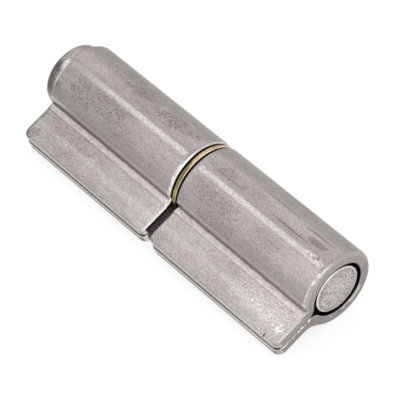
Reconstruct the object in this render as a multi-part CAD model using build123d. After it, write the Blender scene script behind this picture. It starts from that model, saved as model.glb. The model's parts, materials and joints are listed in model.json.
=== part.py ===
from build123d import *
import os
from math import acos, atan2, cos, degrees, hypot, sin, sqrt

# Weld-on barrel hinge: two halves rolled from thick steel sheet, each a drop-shaped
# barrel that closes into a double-ply leaf, a brass washer between them and a
# headed steel pin through both.  Millimetres, +Z up.
#
# The pieces are modelled in the hinge's own frame: the pin's axis is X, with the pin's
# open tail end at x = 0 and its head towards -X, and the leaves reach towards -Y.
# They are then tipped about X until the leaves' outer edges touch the ground beside
# the barrel, which is how the loose hinge lies.

# ---------------------------------------------------------------- driving sizes
# Rolled halves
barrel_diameter = 22.0      # outside of the rolled barrel
barrel_wall = 3.2
ply_thickness = 2.9         # each of the leaf's two plies
half_length = 47.8          # length of one half along the pin
leaf_reach = 21.7           # pin axis to the lower ply's outer edge
ply_step = 0.5              # how far the lower ply stands out past the upper one
seam_setback = 0.3          # how far inside the barrel's outline the two plies come together
seam_gap = 0.16             # hairline left between the two plies
mouth_rounding = 1.3        # end of the barrel that faces the pin's tail
back_rounding = 0.5         # end of the barrel that faces the pin's head
leaf_rounding = 0.5         # outer borders of the plies
leaf_corner_radius = 2.2    # the leaf's corners, seen flat on
rim_chamfer = 0.25          # bore mouths and the plies' facing edges

# Crease on the upper side: the barrel drops steeply on to a low shoulder of the leaf
flank_setback = 1.25        # where the barrel turns down, inside its own outline
crease_lean = 0.25          # how far the crease lies outside that turn
shoulder_rise = 0.3         # shoulder above the flat of the leaf
shoulder_length = 1.4
shoulder_ramp = 0.6
shoulder_radius = 1.0
flank_radius = 1.5          # soft turn from the barrel into its flank

# Neck on the lower side: the same turn, but drawn out into a softer slope
neck_lean = 0.6
neck_rise = 0.85
neck_length = 1.65
neck_radius = 0.9
neck_foot_radius = 3.0

# Pin
pin_clearance = 1.0         # radial, in the rolled bore
pin_recess = 0.3            # how far the tail stops inside the barrel's mouth
tail_rounding = 0.35
head_setback = 1.8          # barrel end left showing round the head
head_thickness = 4.7
head_rounding = 1.7         # outer rim of the head
head_seat_rounding = 0.3    # rim of the face that seats on the barrel

# Washer
washer_setback = 0.35       # the washer's edge below the barrel's outside
washer_thickness = 1.4
washer_pin_clearance = 0.2  # radial, round the pin
washer_side_clearance = 0.4 # to each half
washer_edge_chamfer = 0.15

# ---------------------------------------------------------------- worked-out places
barrel_radius = barrel_diameter / 2
bore_radius = barrel_radius - barrel_wall
seam_reach = barrel_radius - seam_setback
flank_reach = barrel_radius - flank_setback
flank_height = sqrt(barrel_radius**2 - flank_reach**2)
crease_reach = flank_reach + crease_lean
crease_height = ply_thickness + shoulder_rise
neck_reach = flank_reach + neck_lean
neck_height = ply_thickness + neck_rise
upper_reach = leaf_reach - ply_step
pin_radius = bore_radius - pin_clearance
head_radius = barrel_radius - head_setback
washer_radius = barrel_radius - washer_setback
washer_hole_radius = pin_radius + washer_pin_clearance
between_halves = washer_thickness + 2 * washer_side_clearance
hinge_length = 2 * half_length + between_halves
door_end = -hinge_length                    # barrel end that the pin's head seats on
washer_start = -half_length - washer_side_clearance - washer_thickness

# The barrel and the lower ply's outer edge touch the ground together when
#   reach * sin(tilt) + drop * cos(tilt) = height
# where the three lengths run to the centre of that rounded edge.  The upper ply's
# outer edge, rounded alike, then overhangs the furthest.
edge_reach = leaf_reach - leaf_rounding
upper_edge_reach = upper_reach - leaf_rounding
edge_drop = ply_thickness - leaf_rounding
edge_height = barrel_radius - leaf_rounding
rest_tilt = atan2(edge_reach, edge_drop) - acos(edge_height / hypot(edge_reach, edge_drop))
leaf_overhang = upper_edge_reach * cos(rest_tilt) + edge_drop * sin(rest_tilt) + leaf_rounding

TINY = 0.01                 # how close an edge lies to the line that picks it out


def opening_section():
    """What the sheet is rolled round: the bore, running smoothly into the seam."""
    half_gap = seam_gap / 2
    far_out = 2 * leaf_reach
    bend_radius = (seam_reach**2 + half_gap**2 - bore_radius**2) / (2 * (bore_radius - half_gap))
    bend_centre = Vector(-seam_reach, bend_radius + half_gap)
    bend_angle = degrees(atan2(bend_centre.Y, -bend_centre.X))
    bore = CenterArc((0, 0), bore_radius, bend_angle - 180, 360 - 2 * bend_angle)
    upper_side = Curve() + [
        CenterArc(bend_centre, bend_radius, -90, 90 - bend_angle),
        Polyline((-seam_reach, half_gap), (-far_out, half_gap), (-far_out, 0)),
    ]
    lower_side = mirror(upper_side, about=Plane.XZ)
    return make_face(bore.edges() + upper_side.edges() + lower_side.edges())


def barrel_section():
    """The barrel seen along the pin, with its two flanks run on into the leaf."""
    turn_angle = degrees(atan2(flank_height, flank_reach))
    arc = CenterArc((0, 0), barrel_radius, turn_angle - 180, 360 - 2 * turn_angle)
    crease_slope = crease_lean / (flank_height - crease_height)
    neck_slope = neck_lean / (flank_height - neck_height)
    flanks = Polyline(
        (-flank_reach, flank_height),
        (-flank_reach - crease_slope * flank_height, 0),
        (-flank_reach - neck_slope * flank_height, 0),
        (-flank_reach, -flank_height),
    )
    section = make_face(arc.edges() + flanks.edges())
    turns = [v for v in section.vertices() if abs(abs(v.Y) - flank_height) < TINY]
    return fillet(turns, flank_radius) - opening_section()


def leaf_section():
    """The two plies seen along the pin, run on into the barrel's wall."""
    inner_end = mouth_rounding - crease_reach
    ramp_start = crease_reach + shoulder_length
    neck_foot = neck_reach + neck_length
    flank_middle = (neck_height + flank_height) / 2
    outline = Polyline(
        (inner_end, crease_height),
        (-ramp_start, crease_height),
        (-ramp_start - shoulder_ramp, ply_thickness),
        (-upper_reach, ply_thickness),
        (-upper_reach, 0),
        (-leaf_reach, 0),
        (-leaf_reach, -ply_thickness),
        (-neck_foot, -ply_thickness),
        (-neck_reach, -neck_height),
        (-neck_reach + neck_lean / 2, -flank_middle),
        (inner_end, -neck_height),
        close=True,
    )
    section = make_face(outline)

    def at(reach, height):
        return [v for v in section.vertices()
                if abs(v.X + reach) < TINY and abs(v.Y - height) < TINY]

    section = fillet(at(ramp_start, crease_height), shoulder_radius)
    section = fillet(at(ramp_start + shoulder_ramp, ply_thickness), shoulder_radius)
    section = fillet(at(neck_reach, -neck_height), neck_radius)
    section = fillet(at(neck_foot, -ply_thickness), neck_foot_radius)
    return section - opening_section()


def rounded_barrel():
    """The barrel from x = 0 to x = half_length, its outer rims rounded, its bore's eased."""
    barrel = extrude(Plane.YZ * barrel_section(), amount=half_length)

    def rims(x, outside):
        found = []
        for edge in barrel.edges():
            middle, start = edge @ 0.5, edge @ 0
            from_axis = hypot(middle.Y, middle.Z)
            on_arc = from_axis > barrel_radius - TINY and middle.Y > -flank_reach
            beside_leaf = from_axis > flank_reach and middle.Y < flank_radius - flank_reach
            on_flank = beside_leaf and abs(middle.Z) > seam_gap
            on_bore = abs(from_axis - bore_radius) < TINY
            wanted = (on_arc or on_flank) if outside else on_bore
            if abs(middle.X - x) < TINY and abs(start.X - x) < TINY and wanted:
                found.append(edge)
        return found

    barrel = fillet(rims(half_length, True), mouth_rounding)
    barrel = fillet(rims(0, True), back_rounding)
    return chamfer(rims(half_length, False) + rims(0, False), rim_chamfer)


def rounded_ply(ply):
    """One ply with round corners, rumbled outer borders and eased facing borders."""
    corners = ply.edges().filter_by(Axis.Z).group_by(Axis.Y)[0]
    ply = fillet(corners, leaf_corner_radius)
    free_edge = ply.bounding_box().min.Y

    def borders(low, high, clear_of):
        found = []
        for edge in ply.edges():
            middle = edge @ 0.5
            on_an_end = min(abs(middle.X), abs(middle.X - half_length)) < TINY
            on_free_edge = middle.Y < free_edge + leaf_corner_radius
            through_the_ply = abs((edge % 0.5).Z) > 1 - TINY
            wanted = low < abs(middle.Z) < high and middle.Y < -clear_of
            if (on_an_end or on_free_edge) and not through_the_ply and wanted:
                found.append(edge)
        return found

    ply = fillet(borders(ply_thickness - TINY, barrel_radius, flank_reach), leaf_rounding)
    return chamfer(borders(0, seam_gap, seam_reach), rim_chamfer)


def rolled_half():
    """One half of the hinge, from x = 0 to x = half_length."""
    half = rounded_barrel()
    for ply_section in leaf_section().faces():
        half += rounded_ply(extrude(Plane.YZ * ply_section, amount=half_length))
    return half.clean()


def headed_pin():
    """Turned pin: rounded tail near x = 0, head seated on the far barrel end."""
    head_top = door_end - head_thickness
    outline = Polyline(
        (-pin_recess, 0),
        (-pin_recess, pin_radius),
        (door_end, pin_radius),
        (door_end, head_radius),
        (head_top, head_radius),
        (head_top, 0),
        close=True,
    )
    profile = make_face(outline)

    def corner(x, radius):
        return [v for v in profile.vertices()
                if abs(v.X - x) < TINY and abs(v.Y - radius) < TINY]

    profile = fillet(corner(-pin_recess, pin_radius), tail_rounding)
    profile = fillet(corner(head_top, head_radius), head_rounding)
    profile = fillet(corner(door_end, head_radius), head_seat_rounding)
    return revolve(profile, Axis.X)


def thrust_washer():
    """Flat brass ring that keeps the halves apart, loose on the pin."""
    ring = Circle(washer_radius) - Circle(washer_hole_radius)
    washer = extrude(Plane.YZ.offset(washer_start) * ring, amount=washer_thickness)
    return chamfer(washer.edges().filter_by(GeomType.CIRCLE), washer_edge_chamfer)


# ---------------------------------------------------------------- assembly
half = rolled_half()
pieces = {
    "frame_leaf": Pos(-half_length, 0, 0) * half,
    "door_leaf": Pos(door_end, 0, 0) * half,
    "washer": thrust_washer(),
    "pin": headed_pin(),
}

# Origin: on the ground, under the middle of the box round the whole hinge.
middle_x = (door_end - head_thickness) / 2
middle_y = (barrel_radius - leaf_overhang) / 2
at_rest = Pos(-middle_x, -middle_y, barrel_radius) * Rot(degrees(rest_tilt), 0, 0)

os.makedirs("parts", exist_ok=True)
for name, piece in pieces.items():
    export_step(at_rest * piece, f"parts/{name}.step")
    print(name, "volume", round(piece.volume), "mm3")

print("rest tilt", round(degrees(rest_tilt), 3), "degrees, hinge length", hinge_length)
print("pin axis at y", round(-middle_y, 4), "z", barrel_radius, ", tail mouth at x", -middle_x)
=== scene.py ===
# %% [markdown]
# # Weld-on barrel hinge
#
# The hinge has two halves rolled from thick steel sheet, a brass washer between them
# and a headed steel pin through both.  Its shapes are modelled in CAD, and this lesson
# gives them their finish: bare steel as it comes from the press, a turned pin and a
# brass washer, under plain studio light.
#
# The first step loads the CAD pieces.  They come in metres, in the place where they
# belong, and stay as they are.

# %% Load the hinge
import json
import math

import bpy
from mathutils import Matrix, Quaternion, Vector


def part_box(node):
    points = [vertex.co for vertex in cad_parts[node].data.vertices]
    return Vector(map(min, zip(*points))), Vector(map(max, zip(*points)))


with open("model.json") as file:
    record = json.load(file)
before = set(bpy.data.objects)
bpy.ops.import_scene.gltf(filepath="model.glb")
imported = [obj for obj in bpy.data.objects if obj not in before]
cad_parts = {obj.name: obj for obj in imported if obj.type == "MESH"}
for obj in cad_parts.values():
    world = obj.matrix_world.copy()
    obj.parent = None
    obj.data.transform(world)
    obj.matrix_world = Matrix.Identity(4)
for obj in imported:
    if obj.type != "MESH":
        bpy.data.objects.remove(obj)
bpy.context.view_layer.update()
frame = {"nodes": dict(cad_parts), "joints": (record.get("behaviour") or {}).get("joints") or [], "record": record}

hinge = frame["nodes"]
print("pieces:", ", ".join(sorted(hinge)))

# %% [markdown]
# ## The hinge's own axes
#
# The loose hinge lies tipped over, resting on its barrel and the leaves' outer edges.
# Marks from rolling run along the pin, wear follows the ends and edges, and all of this
# is far easier to write along the hinge's own axes.  So every material first turns the
# Object coordinates: x runs along the pin from the tail's mouth, which is at 0, y points
# away from the leaves and z stands square on the leaves' flat.  One unit is a millimetre.
#
# The pin's place comes from the door's joint, and the tilt from the direction in which
# the weld faces look.

# %% Find the pin's axis and the tilt
MM = 0.001
door_joint = next(j for j in frame["joints"] if j["name"] == "door_swing")
weld_face = next(m for m in frame["record"]["mounts"] if m["name"] == "frame_weld_face")
tail_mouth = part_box("frame_leaf")[1].x
head_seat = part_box("door_leaf")[0].x
pin_axis = Vector((tail_mouth, door_joint["pos_m"][1], door_joint["pos_m"][2]))
tilt = math.asin(weld_face["axis"][1])
print("tilt, degrees:", round(math.degrees(tilt), 2))

half_length = (tail_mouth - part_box("frame_leaf")[0].x) / MM
hinge_length = (tail_mouth - head_seat) / MM
barrel_radius = pin_axis.z / MM
pin_radius = 6.8
print("half", round(half_length, 1), "hinge", round(hinge_length, 1), "mm long")

# %% [markdown]
# ## Small helpers for shader trees
#
# A shader tree is a list of nodes and the links between them.  These helpers keep the
# recipes below short: `add` makes a node and plugs in its inputs, `maths` does one sum,
# and `product` multiplies masks.  A mask is a number from 0 to 1 that says where a coat
# lies: `smooth`, `near` and `between` make one from a distance.  `new_group` starts a
# node group with named inputs and outputs.  Lengths in the trees are millimetres.

# %% Nodes
def plug(tree, socket, value):
    """A value is either the output of another node or a plain number or colour."""
    if isinstance(value, bpy.types.NodeSocket):
        tree.links.new(value, socket)
    else:
        socket.default_value = value


def add(tree, kind, inputs=(), **settings):
    node = tree.nodes.new(kind)
    for name, value in settings.items():
        setattr(node, name, value)
    for name, value in dict(inputs).items():
        plug(tree, node.inputs[name], value)
    return node


# %% Sums
def maths(tree, operation, *values, clamp=False):
    node = add(tree, "ShaderNodeMath", operation=operation, use_clamp=clamp)
    for i, value in enumerate(values):
        plug(tree, node.inputs[i], value)
    return node.outputs[0]


def product(tree, *values):
    result = values[0]
    for value in values[1:]:
        result = maths(tree, "MULTIPLY", result, value)
    return result


def vectors(tree, operation, *values, **named):
    """One sum on vectors or colours."""
    node = add(tree, "ShaderNodeVectorMath", named, operation=operation)
    for i, value in enumerate(values):
        plug(tree, node.inputs[i], value)
    return node.outputs[0]


# %% Masks
def smooth(tree, value, low, high, to_low=0.0, to_high=1.0):
    """Runs softly from to_low, where value is at low, to to_high, where it is at high."""
    node = add(tree, "ShaderNodeMapRange", interpolation_type="SMOOTHSTEP")
    for name, v in zip(("Value", "From Min", "From Max", "To Min", "To Max"),
                       (value, low, high, to_low, to_high)):
        plug(tree, node.inputs[name], v)
    return node.outputs["Result"]


def near(tree, value, middle, reach, full):
    """1 where the value is within full of the middle, fading to 0 at reach from it."""
    away = maths(tree, "ABSOLUTE", maths(tree, "SUBTRACT", value, middle))
    return smooth(tree, away, reach, full)


def between(tree, value, start, full, still_full, end):
    """Rises from 0 at start to 1 at full, and falls from still_full to 0 at end."""
    return product(tree, smooth(tree, value, start, full), smooth(tree, value, end, still_full))


# %% Patterns
def noise(tree, place, scale, detail, roughness):
    return add(tree, "ShaderNodeTexNoise",
               {"Vector": place, "Scale": scale, "Detail": detail,
                "Roughness": roughness}).outputs["Fac"]


def stretched(tree, place, along, across=1.0, shift=(0.0, 0.0, 0.0)):
    """The place scaled along and across the pin; below 1, a pattern on it grows longer."""
    return add(tree, "ShaderNodeMapping",
               {"Vector": place, "Location": shift,
                "Scale": (along, across, across)}).outputs["Vector"]


# %% Groups
def new_group(name, inputs, outputs):
    """Starts a group; an input is its name, v for a vector or f for a float, and a value."""
    group = bpy.data.node_groups.new(name, "ShaderNodeTree")
    kinds = {"v": "NodeSocketVector", "f": "NodeSocketFloat"}
    for key, kind, value in inputs:
        socket = group.interface.new_socket(key, in_out="INPUT", socket_type=kinds[kind])
        if value is not None:
            socket.default_value = value
    for key, kind in outputs:
        group.interface.new_socket(key, in_out="OUTPUT", socket_type=kinds[kind])
    return group, group.nodes.new("NodeGroupInput"), group.nodes.new("NodeGroupOutput")


def use(tree, group, **inputs):
    """Places a node group in a tree; an input's name is written with _ for a space."""
    node = tree.nodes.new("ShaderNodeGroup")
    node.node_tree = group
    for name, value in inputs.items():
        plug(tree, node.inputs[name.replace("_", " ")], value)
    return node.outputs


# %% [markdown]
# ## Mottle and specks
#
# Bare sheet steel is never one even grey.  Oil, handling and the first breath of rust
# leave soft clouds a few millimetres across, and where the surface has suffered sit
# crowds of fine dark specks.  A painted texture of rust could be wrapped round the
# barrel, but it would show a seam, and noise in space has none.  Two sizes of noise make
# the clouds, and a third, finer one is cut off high so that only its peaks remain as
# specks.  All three metals use the effect with their own sizes, so it is a group.

# %% Mottle group
mottle, mottle_in, mottle_out = new_group(
    "Mottle",
    [("Place", "v", None), ("Cloud Size", "f", 8.0), ("Speck Size", "f", 0.6),
     ("Speck Share", "f", 0.5)],
    [("Clouds", "f"), ("Specks", "f")])
place = mottle_in.outputs["Place"]
cloud_scale = maths(mottle, "DIVIDE", 1.0, mottle_in.outputs["Cloud Size"])
speck_scale = maths(mottle, "DIVIDE", 1.0, mottle_in.outputs["Speck Size"])
large = noise(mottle, stretched(mottle, place, 0.45), cloud_scale, 3.0, 0.6)
small = noise(mottle, stretched(mottle, place, 0.7, shift=(7.0, 3.0, 5.0)),
              product(mottle, cloud_scale, 4.0), 2.0, 0.6)
clouds = maths(mottle, "ADD", product(mottle, large, 0.65), product(mottle, small, 0.35))
peaks = noise(mottle, stretched(mottle, place, 0.7, shift=(3.0, 11.0, 2.0)),
              speck_scale, 1.0, 0.6)
cut_height = smooth(mottle, mottle_in.outputs["Speck Share"], 0.0, 1.0, 0.80, 0.52)
specks = smooth(mottle, maths(mottle, "SUBTRACT", peaks, cut_height), 0.0, 0.08)
mottle.links.new(clouds, mottle_out.inputs["Clouds"])
mottle.links.new(specks, mottle_out.inputs["Specks"])
print("group made:", mottle.name)

# %% [markdown]
# ## Grain
#
# The surface is matt because it is rough on a scale of a few tenths of a millimetre.
# Modelled in the mesh, such grains would need millions of faces, so a Bump node only
# tilts the shading.  Each grain also catches the light a little differently.  The group
# therefore gives two things: a height for a Bump node, and a level around 1 that
# lightens or darkens the colour grain by grain.

# %% Grain group
grain, grain_in, grain_out = new_group(
    "Grain",
    [("Place", "v", None), ("Size", "f", 0.4), ("Contrast", "f", 0.15)],
    [("Height", "f"), ("Level", "f")])
place = grain_in.outputs["Place"]
grain_scale = maths(grain, "DIVIDE", 1.0, grain_in.outputs["Size"])
fine = noise(grain, stretched(grain, place, 0.75), grain_scale, 2.0, 0.7)
swing = smooth(grain, fine, 0.36, 0.64, -1.0, 1.0)
level = maths(grain, "MULTIPLY_ADD", swing, grain_in.outputs["Contrast"], 1.0)
grain.links.new(fine, grain_out.inputs["Height"])
grain.links.new(level, grain_out.inputs["Level"])
print("group made:", grain.name)

# %% [markdown]
# ## Stains
#
# Handling has left marks at single spots: a freckled patch, a smear, a nick.  They could
# be painted on the surface by hand, but a lump in space needs no unwrapping, and a new
# number moves it.  The group takes the lump's centre and its reach along the three axes,
# and gives a mask with a ragged border that fades out where the reach ends.

# %% Stain group
stain, stain_in, stain_out = new_group(
    "Stain",
    [("Place", "v", None), ("Centre", "v", (0.0, 0.0, 0.0)), ("Reach", "v", (1.0, 1.0, 1.0)),
     ("Raggedness", "f", 0.6)],
    [("Mask", "f")])
offset = vectors(stain, "SUBTRACT", stain_in.outputs["Place"], stain_in.outputs["Centre"])
scaled = vectors(stain, "DIVIDE", offset, stain_in.outputs["Reach"])
away = add(stain, "ShaderNodeVectorMath", {0: scaled}, operation="LENGTH").outputs["Value"]
ragged = product(stain, stain_in.outputs["Raggedness"],
                 maths(stain, "SUBTRACT", noise(stain, scaled, 2.2, 4.0, 0.7), 0.5), 3.0)
mask = smooth(stain, maths(stain, "ADD", away, ragged), 1.05, 0.55)
stain.links.new(mask, stain_out.inputs["Mask"])
print("group made:", stain.name)

# %% [markdown]
# ## The start of every metal
#
# One material could serve every piece, but three short ones, a metal each, are easier to
# read.  All three start alike: a material with one shader, and the place turned into the
# hinge's own axes by a Mapping node.  From that place come x, y and z, the distance from
# the pin's axis and the angle round it, which are all that the coats need.

# %% New material and its places
def new_material(name):
    """A metal's material with its shader, and the place in the hinge's own axes."""
    material = bpy.data.materials.new(name)
    material.use_nodes = True
    tree = material.node_tree
    tree.nodes.clear()
    shader = tree.nodes.new("ShaderNodeBsdfPrincipled")
    output = tree.nodes.new("ShaderNodeOutputMaterial")
    tree.links.new(shader.outputs[0], output.inputs["Surface"])
    object_place = tree.nodes.new("ShaderNodeTexCoord").outputs["Object"]
    place = add(tree, "ShaderNodeMapping",
                {"Vector": object_place, "Location": pin_axis,
                 "Rotation": (tilt, 0.0, 0.0), "Scale": (MM, MM, MM)},
                vector_type="TEXTURE").outputs["Vector"]
    return material, tree, shader, place


def axes(tree, place):
    parts = add(tree, "ShaderNodeSeparateXYZ", {"Vector": place}).outputs
    return parts["X"], parts["Y"], parts["Z"]


def axis_distance(tree, y, z):
    """How far a point is from the pin's axis."""
    return maths(tree, "SQRT", maths(tree, "MULTIPLY_ADD", y, y, product(tree, z, z)))


def axis_angle(tree, y, z):
    """The angle round the pin's axis, from z towards y, in degrees."""
    return maths(tree, "DEGREES", maths(tree, "ARCTAN2", y, z))


# %% [markdown]
# ## Rolled steel: where things are
#
# Both halves are cut from the same sheet and share one material.  Its coats are placed by
# a few distances: from the pin's axis, round the barrel, to either end of the half and
# to the gap where the washer turns.  The two halves lie in different stretches of x, so
# one sum moves the door half's x on to the frame half's, and what is worn on one half is
# worn on the other.

# %% Distances on the halves
washer_middle = -hinge_length / 2
half_gap = hinge_length / 2 - half_length
half_pitch = half_length + 2 * half_gap
barrel_wall = 3.2
bore_radius = barrel_radius - barrel_wall
leaf_top = 2.9
upper_edge, lower_edge = -21.2, -21.7

steel, tree, shader, place = new_material("Rolled steel")
x, y, z = axes(tree, place)
from_axis = axis_distance(tree, y, z)
round_angle = axis_angle(tree, y, z)
on_door_half = maths(tree, "LESS_THAN", x, washer_middle)
along = maths(tree, "MULTIPLY_ADD", on_door_half, half_pitch, x)
to_near_end = product(tree, along, -1.0)
to_far_end = maths(tree, "ADD", along, half_length)
to_end = maths(tree, "MINIMUM", to_near_end, to_far_end)
to_washer = maths(tree, "SUBTRACT",
                  maths(tree, "ABSOLUTE", maths(tree, "SUBTRACT", x, washer_middle)), half_gap)
on_leaf = smooth(tree, y, -10.1, -10.6)
print("halves start at x =", 0.0, "and", round(-half_pitch, 1))

# %% [markdown]
# ## Rolled steel: the sheet itself
#
# The finish is built up as a painter would do it: a ground colour, then one coat after
# another.  `mix` blends two colours, and `coat` lays a tint where all its masks are 1.
#
# Warm light grey with soft clouds.  The clouds on the leaf lean to brown, where the
# rolling oil has dried on the flat.  Faint streaks run along the pin, as the sheet was
# drawn that way.  A Wave texture could make them too, but evenly spaced; noise on a
# place squeezed along x comes out as long and irregular streaks.

# %% Mixing and coats
# A Mix node has sockets for every kind of data under the same names, so the ones for
# colour are picked by number.
MIX_A, MIX_B, MIX_RESULT = 6, 7, 2


def mix(tree, factor, a, b):
    """Colour b over colour a; a plain colour is written as its red, green and blue."""
    node = add(tree, "ShaderNodeMix", {"Factor": factor}, data_type="RGBA")
    for socket, color in ((MIX_A, a), (MIX_B, b)):
        plug(tree, node.inputs[socket], (*color, 1.0) if isinstance(color, tuple) else color)
    return node.outputs[MIX_RESULT]


def coat(tree, color, tint, strength, *masks):
    """The tint laid over the colour, at this strength, where all the masks are white."""
    return mix(tree, product(tree, *masks, strength), color, tint)


# %% Base colour and streaks
clouds = use(tree, mottle, Place=place, Cloud_Size=9.0)["Clouds"]
color = mix(tree, smooth(tree, clouds, 0.36, 0.62), (0.330, 0.304, 0.298),
            (0.296, 0.268, 0.262))
leaf_color = mix(tree, smooth(tree, clouds, 0.40, 0.60), (0.390, 0.363, 0.347),
                 (0.330, 0.296, 0.284))
color = mix(tree, on_leaf, color, leaf_color)

streaks = noise(tree, stretched(tree, place, 0.035), 0.9, 3.0, 0.6)
color = coat(tree, color, (0.400, 0.372, 0.362), 0.40, smooth(tree, streaks, 0.45, 0.70))
hairlines = noise(tree, stretched(tree, place, 0.05, shift=(4.0, 9.0, 1.0)), 3.2, 1.0, 0.5)
color = coat(tree, color, (0.150, 0.130, 0.126), 0.30, smooth(tree, hairlines, 0.66, 0.74))
print("sheet colour, streaks and hairlines laid")

# %% [markdown]
# ## Rolled steel: freckled patches
#
# In places the rust has begun: the grey turns darker and browner and is full of dark
# specks.  The patches could be scattered by chance, but rust starts where water stood
# and hands took hold, so each has its own place.  It is one use of the stain group, with
# its centre, its reach and how crowded its specks are, and the strongest patch at each
# spot counts.  On a barrel the centre is written as a place along the pin and an angle.
# Beside the pin's head one stretch of the barrel is painted lighter, as a painted sheen.

# %% Places on barrel and leaf
def on_barrel(along_pin, angle):
    """A point on the barrel, with the angle counted from z towards y, in degrees."""
    turn = math.radians(angle)
    return (along_pin, barrel_radius * math.sin(turn), barrel_radius * math.cos(turn))


def on_flat(along_pin, across):
    """A point on the leaf's upper face, with across counted along y."""
    return (along_pin, across, leaf_top)


# %% Where the patches lie
BARREL_PATCHES = (
    (on_barrel(-96.2, -34.0), (1.5, 2.0, 2.2), 0.90),
    (on_barrel(-87.5, -21.0), (7.0, 4.2, 4.0), 0.75),
    (on_barrel(-84.0, 34.0), (7.0, 3.2, 3.2), 0.45),
    (on_barrel(-78.5, -15.0), (10.0, 3.8, 3.5), 0.80),
    (on_barrel(-75.0, 31.0), (8.0, 2.2, 2.4), 0.80),
    (on_barrel(-71.0, -27.0), (9.0, 3.4, 3.6), 0.60),
    (on_barrel(-68.0, 19.0), (9.0, 1.5, 1.5), 0.55),
    (on_barrel(-62.0, -42.0), (10.0, 5.0, 5.0), 0.35),
    (on_barrel(-61.0, 27.0), (11.0, 2.6, 2.6), 0.85),
    (on_barrel(-42.0, -10.0), (5.0, 3.0, 3.0), 0.60),
    (on_barrel(-40.0, 19.0), (7.0, 2.0, 2.0), 0.62),
    (on_barrel(-36.5, -20.0), (10.0, 3.6, 3.0), 0.74),
    (on_barrel(-33.0, -42.0), (10.0, 5.0, 5.0), 0.52),
    (on_barrel(-31.0, 21.0), (8.0, 2.2, 2.2), 0.55),
    (on_barrel(-21.0, -46.0), (8.0, 5.0, 5.0), 0.28),
    (on_barrel(-18.5, -24.0), (7.0, 4.6, 4.0), 0.50),
)
BACK_PATCHES = (
    (on_barrel(-74.0, 104.0), (15.0, 5.0, 6.5), 0.40),
    (on_barrel(-41.0, 146.0), (12.0, 6.0, 4.5), 0.45),
    (on_barrel(-22.0, 78.0), (13.0, 4.5, 5.5), 0.45),
)
LEAF_PATCHES = (
    (on_flat(-97.4, -15.5), (1.0, 7.0, 2.0), 0.90),
    (on_flat(-96.6, -20.0), (3.4, 3.4, 2.4), 1.00),
    (on_flat(-88.0, -16.0), (12.0, 5.5, 2.0), 0.60),
    (on_flat(-76.0, -20.2), (24.0, 1.3, 2.0), 0.40),
    (on_flat(-68.0, -15.5), (14.0, 4.0, 2.0), 0.35),
    (on_flat(-46.0, -18.8), (5.5, 3.4, 2.0), 0.50),
    (on_flat(-25.0, -20.2), (22.0, 1.3, 2.0), 0.40),
)
patches = BARREL_PATCHES + BACK_PATCHES + LEAF_PATCHES
print(len(patches), "freckled patches placed")

# %% Freckled patches and the painted sheen by the head
crowd = 0.0
for centre, reach, strength in patches:
    mask = product(tree, strength,
                   use(tree, stain, Place=place, Centre=centre, Reach=reach)["Mask"])
    crowd = maths(tree, "MAXIMUM", crowd, mask)
color = coat(tree, color, (0.190, 0.168, 0.162), 0.24, crowd)
# Painted sheen: the far barrel is lightened between two angles beside the head.
painted_sheen_by_head = product(tree, smooth(tree, x, -78.0, -88.0),
                    between(tree, round_angle, 7.0, 15.0, 48.0, 62.0))
color = coat(tree, color, (0.450, 0.415, 0.408), 0.24, painted_sheen_by_head)
share = maths(tree, "MULTIPLY_ADD", crowd, 0.66, 0.24)
specks = use(tree, mottle, Place=place, Speck_Size=0.30, Speck_Share=share)["Specks"]
color = coat(tree, color, (0.075, 0.065, 0.062), 0.86, specks)
print("patches, clean stretch and specks laid")

# %% [markdown]
# ## Rolled steel: highlight line, shoulder and crease
#
# One narrow line along the top of each barrel is nearly white: the closing die has burnished
# it, and it is also a painted highlight of the lamp above.  The leaf's low shoulder is
# painted bright as a painted highlight, with a thin brown line where the shoulder drops and a
# pale streak along the middle of the leaf.  The flank above the shoulder is painted lighter,
# as painted light, and the crease between shoulder and flank is painted dark, as painted
# shade with oil and dirt in it.  Each of these is a band between two distances, so nothing
# has to be painted by hand.

# %% Burnished line with painted highlight
line_angle = maths(tree, "MULTIPLY_ADD", on_door_half, 1.7, 1.1)
past_line = maths(tree, "SUBTRACT", round_angle, line_angle)
from_line = maths(tree, "MAXIMUM", past_line, product(tree, past_line, -0.72))
broken = smooth(tree, noise(tree, stretched(tree, place, 0.3, shift=(1.0, 8.0, 3.0)),
                            3.0, 2.0, 0.7), 0.36, 0.62, 0.45, 1.0)
line_ends = product(tree, smooth(tree, to_near_end, 1.0, 2.6),
                    smooth(tree, to_far_end, 0.6, 2.2), smooth(tree, x, -93.0, -80.0, 0.3, 1.0))
burnish_and_highlight = product(tree, smooth(tree, from_line, 5.2, 1.2), line_ends, broken)
# The line is partly burnished and partly a painted highlight of the strip light above.
color = coat(tree, color, (0.600, 0.572, 0.556), 0.88, burnish_and_highlight)
print("burnished line laid on both barrels")

# %% Shoulder, flank and crease
on_upper_face = smooth(tree, z, leaf_top - 0.4, leaf_top - 0.1)
shoulder_drop = -11.8
dashes = smooth(tree, noise(tree, stretched(tree, place, 0.16, shift=(2.0, 4.0, 7.0)),
                            3.4, 2.0, 0.6), 0.42, 0.62, 0.26, 0.72)
# Painted highlight: the low shoulder beside the crease is painted light.
shoulder_highlight = product(tree, smooth(tree, z, 3.05, 3.18),
                   between(tree, y, -9.9, -10.1, -11.3, -11.7), dashes)
color = coat(tree, color, (0.540, 0.512, 0.495), 1.0, shoulder_highlight)
middle_streak = product(tree, near(tree, y, -16.6, 1.9, 0.5),
                        smooth(tree, streaks, 0.36, 0.60, 0.10, 0.34), on_upper_face)
color = coat(tree, color, (0.520, 0.492, 0.474), 1.0, middle_streak)
drop_line = product(tree, near(tree, y, shoulder_drop, 0.45, 0.10), on_upper_face)
color = coat(tree, color, (0.200, 0.160, 0.145), 0.34, drop_line)
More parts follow.
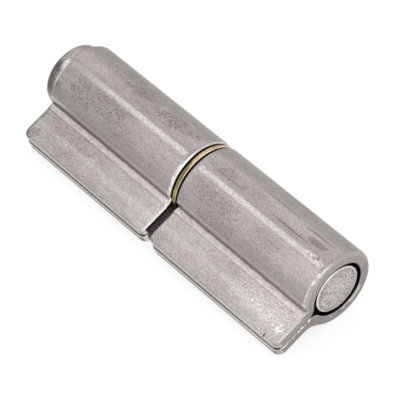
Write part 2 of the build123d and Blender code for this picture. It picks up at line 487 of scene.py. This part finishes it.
# Painted light: the flank above the shoulder is lightened where it would mirror the darker leaf.
painted_flank_light = product(tree, smooth(tree, y, -8.6, -9.3), between(tree, z, 4.7, 5.0, 5.8, 6.6))
color = coat(tree, color, (0.560, 0.525, 0.510), 0.70, painted_flank_light)
# Painted shade in the crease, together with oil and dirt.
crease_dirt_and_shade = product(tree, between(tree, z, 3.22, 3.30, 4.8, 5.1), smooth(tree, y, -9.6, -9.75),
                 smooth(tree, to_near_end, 0.9, 1.9))
color = coat(tree, color, (0.150, 0.134, 0.129), 0.68, crease_dirt_and_shade)
print("shoulder, streak, drop line, flank and crease laid")

# %% [markdown]
# ## Rolled steel: ends and borders
#
# Edges that touch other steel are rubbed light, and their roundings also carry a painted
# highlight.  Single spots on the rounded rim of the open end are painted glints, and the
# barrel's end beside the pin's head carries a painted highlight.  The plies' sheared edges
# are painted bright on top and dark below, as painted highlight and as painted shade where
# the light does not reach.  The leaves are scuffed beside the washer and at the open end,
# with painted glints in the scuffs.
# Blender can find edges by itself, with Geometry's Pointiness, but that lights up every
# edge alike.  Distances to the ends and borders choose the ones that rub.

# %% Borders of the halves
# Colours for painted glints, painted highlights and dark edges.
glint_paint, highlight_paint, shaded = (0.880, 0.860, 0.840), (0.800, 0.780, 0.765), (0.150, 0.132, 0.128)
# Rubbed wear on the edges, with a painted highlight on their roundings.
near_border = smooth(tree, to_near_end, 1.1, 0.5)
far_border = product(tree, smooth(tree, to_far_end, 0.8, 0.3),
                     smooth(tree, on_door_half, 0.0, 1.0, 0.35, 0.10))
color = coat(tree, color, (0.500, 0.475, 0.460), 0.40,
             maths(tree, "MAXIMUM", near_border, far_border))
# Painted glints: bright spots on the rounded rim of the open end.
rim_spots = smooth(tree, noise(tree, vectors(tree, "ADD", place, (8.0, 3.0, 5.0)),
                               0.9, 2.0, 0.7), 0.46, 0.60, 0.25, 1.0)
painted_rim_glint = product(tree, near(tree, to_near_end, 0.8, 0.40, 0.15),
                    between(tree, round_angle, -80.0, -52.0, -14.0, 8.0), rim_spots)
color = coat(tree, color, glint_paint, 0.55, painted_rim_glint)
# Painted highlight on the door barrel's end beside the pin's head.
painted_highlight_under_head = product(tree, smooth(tree, to_far_end, 0.75, 0.45), on_door_half,
                     between(tree, round_angle, -46.0, -28.0, -4.0, 6.0))
color = coat(tree, color, highlight_paint, 0.75, painted_highlight_under_head)
dark_rim = product(tree, on_leaf, on_door_half, smooth(tree, to_far_end, 1.1, 0.4),
                   smooth(tree, y, -14.0, -19.0, 0.45, 0.85))
color = coat(tree, color, shaded, 1.0, dark_rim)
print("borders, rim glint, the rub under the head and the door leaf's dark rim laid")

# %% Edges of the plies
# Painted highlight on the upper ply's edge and painted light on the lower ply's step use this colour.
painted_edge_light = (0.620, 0.595, 0.580)
upper_cut = product(tree, smooth(tree, y, upper_edge + 0.25, upper_edge + 0.1),
                    smooth(tree, z, 0.2, 0.5))
color = coat(tree, color, painted_edge_light, 0.80, upper_cut)
# Painted shade along the upper ply's rounded edge.
dark_line = product(tree, near(tree, y, upper_edge + 0.45, 0.32, 0.08),
                    smooth(tree, z, leaf_top - 0.5, leaf_top - 0.3))
color = coat(tree, color, shaded, 0.35, dark_line)
# Painted shade on the lower ply's face.
lower_cut = product(tree, smooth(tree, y, lower_edge + 0.4, lower_edge + 0.2),
                    smooth(tree, z, -0.25, -0.5))
color = coat(tree, color, (0.170, 0.155, 0.152), 0.90, lower_cut)
lower_step = product(tree, smooth(tree, y, lower_edge + 0.4, lower_edge + 0.3),
                     smooth(tree, z, -0.5, -0.3))
color = coat(tree, color, painted_edge_light, 0.85, lower_step)
print("edges of both plies laid")

# %% Scuffs with painted glints, painted sparkles and a painted glint at the corner
beside_gap = use(tree, stain, Place=place, Centre=on_flat(-51.4, -15.5), Reach=(2.6, 8.5, 2.0))
at_open_end = use(tree, stain, Place=place, Centre=on_flat(-4.0, -15.5), Reach=(11.0, 5.0, 2.0))
glints = smooth(tree, noise(tree, stretched(tree, place, 0.7, shift=(2.0, 5.0, 9.0)),
                            2.6, 2.0, 0.7), 0.45, 0.62)
# The scuffs are wear, and the glints in them are painted highlights.
color = coat(tree, color, (0.600, 0.575, 0.560), 0.50,
             maths(tree, "MAXIMUM", beside_gap["Mask"], at_open_end["Mask"]), glints)
# Painted sparkles: glints of light painted on the near leaf.
sparkling = use(tree, stain, Place=place, Centre=on_flat(-11.5, -15.4), Reach=(12.0, 3.0, 2.0))
sparkles = smooth(tree, noise(tree, stretched(tree, place, 0.6, shift=(9.0, 1.0, 6.0)),
                              4.2, 1.0, 0.6), 0.58, 0.66)
color = coat(tree, color, (0.780, 0.755, 0.740), 0.80, sparkling["Mask"], sparkles)
# Painted glint on the leaf's corner at the open end.
corner = use(tree, stain, Place=place, Centre=on_flat(-2.4, -17.2), Reach=(1.4, 2.1, 2.0))
corner_glint_streaks = smooth(tree, noise(tree, stretched(tree, place, 1.6, shift=(6.0, 2.0, 3.0)),
                          1.1, 2.0, 0.7), 0.50, 0.60)
color = coat(tree, color, glint_paint, 0.70, corner["Mask"], corner_glint_streaks)
print("scuffs, sparkles and the rubbed corner laid")

# %% [markdown]
# ## Rolled steel: end face, seam and bore
#
# The two plies were cut through together, and the cut has dragged a ragged line of dark
# and bright along the seam.  Noise added to z lets that line wander.  The end faces beside
# the washer, the seam between the plies and the inside of the bore are painted nearly black,
# as painted shade in the gaps and recesses.

# %% End face and seam
on_end_face = smooth(tree, to_near_end, 0.10, 0.03)
end_shade = smooth(tree, y, -6.0, -11.0, 0.30, 0.50)
color = coat(tree, color, (0.180, 0.165, 0.162), 1.0, on_end_face, end_shade)
seam_noise = noise(tree, stretched(tree, place, 0.2, shift=(5.0, 1.0, 4.0)), 0.9, 4.0, 0.7)
seam_wander = product(tree, maths(tree, "SUBTRACT", seam_noise, 0.5), 1.6)
from_seam = maths(tree, "ADD", z, seam_wander)
cut_here = product(tree, smooth(tree, to_near_end, 0.65, 0.35), smooth(tree, y, -9.6, -10.4))
cut_dashes = smooth(tree, noise(tree, vectors(tree, "ADD", place, (3.0, 7.0, 1.0)),
                                0.9, 2.0, 0.6), 0.44, 0.56)
lower_ply = smooth(tree, from_seam, -0.1, -0.9)
color = coat(tree, color, (0.180, 0.158, 0.155), 0.35, lower_ply, on_end_face)
bright_side = near(tree, from_seam, -0.45, 0.32, 0.05)
color = coat(tree, color, (0.800, 0.770, 0.750), 0.80, bright_side, cut_here, cut_dashes)
dark_side = near(tree, from_seam, 0.0, 0.34, 0.10)
color = coat(tree, color, (0.060, 0.050, 0.048), 0.80, dark_side, cut_here)
print("end face and ragged seam laid")

# %% Scratch on the ring
ring_scratch = product(tree, near(tree, from_axis, bore_radius + 0.6, 0.30, 0.08),
                       on_end_face, smooth(tree, z, -5.6, -6.8))
color = coat(tree, color, (0.120, 0.108, 0.105), 0.45, ring_scratch)
color = coat(tree, color, (0.820, 0.800, 0.780), 1.0, ring_scratch,
             smooth(tree, cut_dashes, 0.5, 1.0))
print("ring scratch laid")

# %% Painted highlight on the mouth and painted shade in the gaps
# Painted highlight on the door half's rounded mouth and leaf end beside the washer.
painted_mouth_highlight = product(tree, smooth(tree, to_washer, 0.85, 0.55), on_door_half,
                    smooth(tree, y, 6.0, -4.0, 0.45, 1.0),
                    smooth(tree, on_leaf, 0.0, 1.0, 0.85, 0.50))
color = coat(tree, color, highlight_paint, 1.0, painted_mouth_highlight)
# Painted shade: the end faces beside the washer, the bore and the seam between the plies are painted nearly black.
shade_edge = maths(tree, "MULTIPLY_ADD", on_door_half, -0.14,
                    smooth(tree, on_leaf, 0.0, 1.0, 0.52, 0.30))
beside_washer = smooth(tree, maths(tree, "SUBTRACT", to_washer, shade_edge), 0.0, -0.14)
leaf_end = product(tree, on_leaf, between(tree, z, -2.2, -1.7, 1.5, 2.0))
shade_beside_washer = product(tree, beside_washer, smooth(tree, leaf_end, 0.0, 1.0, 1.0, 0.87))
in_bore = product(tree, smooth(tree, from_axis, bore_radius + 0.3, bore_radius + 0.1),
                  smooth(tree, to_end, 0.05, 0.35))
in_seam = product(tree, near(tree, z, 0.0, 0.16, 0.10), smooth(tree, y, -7.0, -8.5),
                  smooth(tree, y, upper_edge + 0.05, upper_edge + 0.3, 0.55, 1.0))
painted_gap_shade = maths(tree, "MAXIMUM", shade_beside_washer, maths(tree, "MAXIMUM", in_bore, in_seam))
color = coat(tree, color, (0.014, 0.012, 0.012), 0.97, painted_gap_shade)
print("bright mouth and grease laid")

# %% [markdown]
# ## Rolled steel: single marks
#
# A few marks sit at one place only: a dark smear and some scratches along the frame
# half's barrel, brown pits in the burnished line, a nick in one leaf's edge and a dark
# corner on the other leaf.  They could be cut into the mesh, but all are so shallow that
# only their colour shows.  A stain with a long, thin reach and a smoother border is a
# scratch, and one with a short reach is a nick.

# %% Smear, scratches, nick, dark corner and pits
MARKS = (
    (on_barrel(-7.0, 20.0), (4.2, 1.1, 1.1), 0.52, (0.110, 0.095, 0.090)),
    (on_barrel(-15.0, 12.5), (7.0, 0.26, 0.26), 0.70, (0.110, 0.096, 0.092)),
    (on_barrel(-9.0, 31.0), (6.5, 0.40, 0.40), 0.55, (0.120, 0.105, 0.100)),
    (on_barrel(-22.0, 35.0), (8.0, 0.40, 0.40), 0.45, (0.130, 0.115, 0.110)),
    (on_barrel(-37.0, 13.0), (6.0, 0.30, 0.30), 0.45, (0.130, 0.115, 0.110)),
    (on_flat(-4.55, -20.6), (0.28, 0.75, 0.8), 0.90, (0.060, 0.052, 0.050)),
    ((-97.3, -20.6, 2.6), (1.9, 1.8, 1.6), 0.60, (0.120, 0.106, 0.102)),
)
for centre, reach, strength, tint in MARKS:
    mask = use(tree, stain, Place=place, Centre=centre, Reach=reach, Raggedness=0.35)["Mask"]
    color = coat(tree, color, tint, strength, mask)
pits_here = use(tree, stain, Place=place, Centre=on_barrel(-5.0, 3.0),
                Reach=(4.2, 0.9, 1.0), Raggedness=0.3)["Mask"]
pits = smooth(tree, noise(tree, place, 1.7, 2.0, 0.7), 0.50, 0.60)
color = coat(tree, color, (0.760, 0.700, 0.640), 0.45, pits_here)
color = coat(tree, color, (0.190, 0.125, 0.090), 0.80, pits, pits_here)
print(len(MARKS), "single marks, and pits in the burnished line")

# %% [markdown]
# ## Rolled steel: the shader
#
# Last comes the grain, in the same way for all three metals: it lightens and darkens
# every coat, and a Bump node turns its height into relief.  Both go to a fully metallic
# shader.  On the steel, rusty spots and the painted shade in the gaps are rougher than the
# rest, and the colour rises slowly along barrels and leaves towards the open end, as painted
# light.

# %% Helper that finishes a metal
def finish_metal(tree, shader, place, color, roughness, grain_size, contrast, relief, depth):
    rough = use(tree, grain, Place=place, Size=grain_size, Contrast=contrast)
    grained = vectors(tree, "SCALE", color, Scale=rough["Level"])
    bump = add(tree, "ShaderNodeBump",
               {"Height": rough["Height"], "Strength": relief, "Distance": depth})
    plug(tree, shader.inputs["Base Color"], grained)
    shader.inputs["Metallic"].default_value = 1.0
    plug(tree, shader.inputs["Roughness"], roughness)
    plug(tree, shader.inputs["Normal"], bump.outputs["Normal"])


# %% Finish the rolled steel
# Painted light: the colour is lighter towards the open end, where the lamps light the halves more.
barrel_level = smooth(tree, x, -95.0, -52.0, 0.95, 1.10)
leaf_level = smooth(tree, x, -28.0, -12.0, 1.07, 1.17)
painted_light_along_pin = mix(tree, on_leaf, barrel_level, leaf_level)
color = vectors(tree, "SCALE", color, Scale=painted_light_along_pin)
roughness = smooth(tree, maths(tree, "MAXIMUM", crowd, painted_gap_shade), 0.0, 1.0, 0.30, 0.42)
finish_metal(tree, shader, place, color, roughness, grain_size=0.34, contrast=0.17,
             relief=0.35, depth=0.00006)
shader.inputs["Specular Tint"].default_value = (0.80, 0.79, 0.78, 1.0)
for half in ("frame_leaf", "door_leaf"):
    hinge[half].material_slots[0].material = steel
print("rolled steel on both halves")

# %% [markdown]
# ## Pin steel
#
# The pin is turned from bar.  Its sawn tail shows a matt, freckled face, and its rounded rim
# is painted bright as a painted highlight.  Its shank is dark with oil, dragged grey where
# the bores bear on it.  One side of its head is painted dark as a painted dark reflection,
# and beside that it is painted nearly white along its seat as a painted highlight.  Three
# materials would need three slots on the piece, and it came with one, so a single material
# tells tail, shank and head apart by x.

# %% Tail and shank of the pin
pin_steel, tree, shader, place = new_material("Pin steel")
x, y, z = axes(tree, place)
from_axis = axis_distance(tree, y, z)
cloudy = use(tree, mottle, Place=place, Cloud_Size=4.0, Speck_Size=0.42, Speck_Share=0.72)
tail_color = mix(tree, smooth(tree, cloudy["Clouds"], 0.35, 0.65),
                 (0.610, 0.588, 0.568), (0.480, 0.458, 0.440))
tail_specks = use(tree, mottle, Place=place, Speck_Size=0.36,
                  Speck_Share=smooth(tree, from_axis, 1.5, 5.2, 0.66, 0.92))["Specks"]
tail_color = coat(tree, tail_color, (0.085, 0.075, 0.072), 0.88, tail_specks)
inside_rim = near(tree, from_axis, pin_radius - 0.95, 0.55, 0.10)
tail_color = coat(tree, tail_color, (0.230, 0.212, 0.205), 0.30, inside_rim)
# Painted highlight on the tail's rounded rim.
rim = smooth(tree, from_axis, pin_radius - 0.55, pin_radius - 0.2)
tail_color = coat(tree, tail_color, (0.780, 0.760, 0.740), 1.0, rim)
drag_marks = noise(tree, stretched(tree, place, 0.08, shift=(3.0, 6.0, 2.0)), 1.6, 4.0, 0.7)
oiled, dragged = (0.040, 0.036, 0.034), (0.200, 0.184, 0.175)
shank_color = coat(tree, oiled, dragged, 0.42, smooth(tree, x, -4.0, -9.0),
                   smooth(tree, drag_marks, 0.42, 0.62))
on_shank = smooth(tree, x, -0.62, -0.85)
color = mix(tree, on_shank, tail_color, shank_color)
print("tail and shank coloured")

# %% Head of the pin
head_angle = axis_angle(tree, y, z)
beyond_seat = maths(tree, "SUBTRACT", -hinge_length, x)
on_head_side = smooth(tree, from_axis, bore_radius - 0.4, bore_radius + 0.8)
head_color = mix(tree, smooth(tree, cloudy["Clouds"], 0.38, 0.62),
                 (0.330, 0.303, 0.300), (0.270, 0.247, 0.245))
# Painted dark reflection on one side of the head.
painted_dark_reflection = product(tree, on_head_side, between(tree, head_angle, -78.0, -52.0, -12.0, 4.0),
                 smooth(tree, beyond_seat, 0.7, 2.4),
                 smooth(tree, cloudy["Clouds"], 0.30, 0.55, 0.6, 1.0))
head_color = coat(tree, head_color, (0.085, 0.077, 0.078), 0.85, painted_dark_reflection)
# Painted highlight beside it and along the seat.
painted_highlight_side = product(tree, near(tree, head_angle, -5.0, 15.0, 4.0), on_head_side,
                      smooth(tree, beyond_seat, 2.7, 1.0), 0.70)
painted_seat_highlight = product(tree, between(tree, head_angle, -62.0, -50.0, -2.0, 8.0),
                    smooth(tree, beyond_seat, 1.05, 0.70), 0.80)
head_color = coat(tree, head_color, (0.900, 0.880, 0.870), 1.0,
                  maths(tree, "MAXIMUM", painted_highlight_side, painted_seat_highlight))
head_color = coat(tree, head_color, (0.090, 0.078, 0.076), 0.35, cloudy["Specks"])
on_head = smooth(tree, x, -hinge_length + 0.5, -hinge_length - 0.1)
color = mix(tree, on_head, color, head_color)
print("head coloured")

# %% Finish the pin steel
finish_metal(tree, shader, place, color, smooth(tree, on_head, 0.0, 1.0, 0.42, 0.24),
             grain_size=0.38, contrast=0.20, relief=0.3, depth=0.00005)
hinge["pin"].material_slots[0].material = pin_steel
print("pin steel on the pin")

# %% [markdown]
# ## Brass
#
# The washer is punched from brass sheet.  Age turns its rim olive low down and pink on
# top, and dirt has left a dark streak that crosses the rim between the two.  Near its
# corner the rim is painted bright as a painted highlight, and its edge beside the gap is
# painted nearly black as painted shade.  Only the rim shows, so the colour follows the angle
# round the pin.  Streak, corner and fine lines are thin layers along x, and noise makes the
# streak and the lines wander.

# %% Colours of the brass
brass, tree, shader, place = new_material("Washer brass")
x, y, z = axes(tree, place)
round_angle = axis_angle(tree, y, z)
cloudy = use(tree, mottle, Place=place, Cloud_Size=3.0, Speck_Size=0.4, Speck_Share=0.4)
olive, straw, pink = (0.480, 0.490, 0.150), (0.260, 0.208, 0.072), (0.680, 0.500, 0.320)
color = mix(tree, smooth(tree, round_angle, -56.0, -40.0), olive, straw)
color = mix(tree, smooth(tree, round_angle, -14.0, 2.0), color, pink)
tarnish = smooth(tree, cloudy["Clouds"], 0.40, 0.62)
color = coat(tree, color, (0.250, 0.215, 0.100), 0.50, tarnish)
print("brass coloured by age")

# %% Dirt, painted highlight and painted shade on the brass
across = maths(tree, "SUBTRACT", x, washer_middle)
wander = product(tree, maths(tree, "SUBTRACT", cloudy["Clouds"], 0.5), 1.2)
streak_place = maths(tree, "ADD", across, wander)
streak_centre = smooth(tree, round_angle, -24.0, -2.0, 0.12, -0.42)
streak_part = between(tree, round_angle, -36.0, -28.0, -3.0, 4.0)
dark_streak = product(tree, near(tree, streak_place, streak_centre, 0.44, 0.14),
                      smooth(tree, streak_part, 0.0, 1.0, 0.25, 0.90))
color = coat(tree, color, (0.085, 0.066, 0.028), 1.0, dark_streak)
fine_lines = noise(tree, stretched(tree, place, 3.0, 0.25, shift=(1.0, 5.0, 2.0)), 1.0, 2.0, 0.6)
color = coat(tree, color, (0.250, 0.212, 0.095), 0.60, smooth(tree, fine_lines, 0.44, 0.58))
# Painted highlight on the rim's corner.
painted_corner_highlight = near(tree, across, 0.42, 0.11, 0.03)
color = coat(tree, color, (0.900, 0.840, 0.650), 0.75, painted_corner_highlight)
# Painted shade on the rim's edge beside the gap.
painted_shade_beside_gap = smooth(tree, across, 0.50, 0.58)
color = coat(tree, color, (0.020, 0.016, 0.010), 0.90, painted_shade_beside_gap)
color = coat(tree, color, (0.120, 0.090, 0.040), 0.40, cloudy["Specks"])
finish_metal(tree, shader, place, color, 0.3, grain_size=0.4, contrast=0.10,
             relief=0.25, depth=0.00005)
hinge["washer"].material_slots[0].material = brass
print("brass on the washer")

# %% [markdown]
# ## Floor, light and camera
#
# The hinge lies on a plain white floor in a white room.  A floor that is only lit would
# never come out evenly white, so it also glows, but only for rays that show it: seen
# directly, mirrored in the metal or through glass.  The room glows for all rays, a little
# less for those that only light things.  The floor's paint is grey: that keeps the
# hinge's shadow faint and throws little light up at it.

# %% Floor
def showing_rays(tree):
    """1 for the rays that show the background, 0 for those that only light things."""
    rays = tree.nodes.new("ShaderNodeLightPath").outputs
    direct = maths(tree, "ADD", rays["Is Camera Ray"], rays["Is Glossy Ray"])
    return maths(tree, "ADD", direct, rays["Is Transmission Ray"], clamp=True)


bpy.ops.mesh.primitive_plane_add(size=6.0, location=(0.0, 0.0, 0.0))
floor = bpy.context.object
floor.name = "Floor"
material = bpy.data.materials.new("White floor")
material.use_nodes = True
tree = material.node_tree
tree.nodes.clear()
paint = add(tree, "ShaderNodeBsdfDiffuse", {"Color": (0.30, 0.30, 0.30, 1.0)})
glow = add(tree, "ShaderNodeEmission", {"Strength": product(tree, showing_rays(tree), 0.75)})
both = add(tree, "ShaderNodeAddShader")
tree.links.new(paint.outputs[0], both.inputs[0])
tree.links.new(glow.outputs[0], both.inputs[1])
output = tree.nodes.new("ShaderNodeOutputMaterial")
tree.links.new(both.outputs[0], output.inputs["Surface"])
floor.data.materials.append(material)
print("floor:", floor.name)

# %% World
world = bpy.data.worlds.new("Studio")
bpy.context.scene.world = world
world.use_nodes = True
tree = world.node_tree
tree.nodes.clear()
sky_level = smooth(tree, showing_rays(tree), 0.0, 1.0, 0.9, 1.0)
sky = add(tree, "ShaderNodeBackground", {"Color": (1.0, 1.0, 1.0, 1.0), "Strength": sky_level})
output = tree.nodes.new("ShaderNodeOutputWorld")
tree.links.new(sky.outputs[0], output.inputs["Surface"])
print("world:", world.name)

# %% [markdown]
# ## Lamps
#
# Bare metal shows its form by what it mirrors.  A small lamp would be mirrored as a
# glaring dot, so each lamp is a large flat panel.  A strip high above gives the barrels
# their line of light, a panel in front and one behind light their flanks, and one beyond
# the open end lights the ring and the pin's tail.  A lamp's power is worked out from its
# size and from how bright it looks, so a panel can change size and keep its look.

# %% Lamps
def panel(name, place, width, length, brightness):
    """A flat lamp aimed at the hinge; at brightness 1 it looks as white as lit paper."""
    lamp = bpy.data.lights.new(name, "AREA")
    lamp.shape = "RECTANGLE"
    lamp.size, lamp.size_y = width, length
    lamp.energy = brightness * math.pi * width * length
    thing = bpy.data.objects.new(name, lamp)
    bpy.context.scene.collection.objects.link(thing)
    thing.location = place
    thing.rotation_mode = "QUATERNION"
    thing.rotation_quaternion = (hinge_middle - Vector(place)).to_track_quat("-Z", "Y")
    print(name, round(lamp.energy, 3), "W")


hinge_middle = Vector((0.0, 0.0, 0.01))
panel("Strip light", (-0.42, -0.21, 0.67), 1.00, 0.20, 0.42)
panel("Front light", (-0.15, -0.72, 0.52), 0.90, 0.95, 0.50)
panel("Back light", (-0.42, 0.39, 0.56), 0.60, 0.45, 0.42)
panel("End light", (0.65, -0.15, 0.45), 0.50, 0.60, 0.90)

# %% [markdown]
# ## Camera
#
# A long lens from well back keeps the barrel's sides nearly parallel.  The camera is
# aimed at a point in the hinge and rolled by a tenth of a degree.  Colours are shown
# with the Standard view, so that white stays white.

# %% Camera
camera = bpy.data.objects.new("Camera", bpy.data.cameras.new("Camera"))
bpy.context.scene.collection.objects.link(camera)
bpy.context.scene.camera = camera
camera.data.lens = 236.5
camera.data.sensor_width = 36.0
camera.data.clip_end = 10.0
camera.location = (0.35084, -0.30287, 0.48637)
looks_at = Vector((0.00446, 0.00101, 0.00855))
roll = Quaternion((0.0, 0.0, 1.0), math.radians(0.1123))
camera.rotation_mode = "QUATERNION"
camera.rotation_quaternion = (looks_at - camera.location).to_track_quat("-Z", "Y") @ roll
bpy.context.scene.view_settings.view_transform = "Standard"
print("camera", round((looks_at - camera.location).length, 3), "m from the hinge")
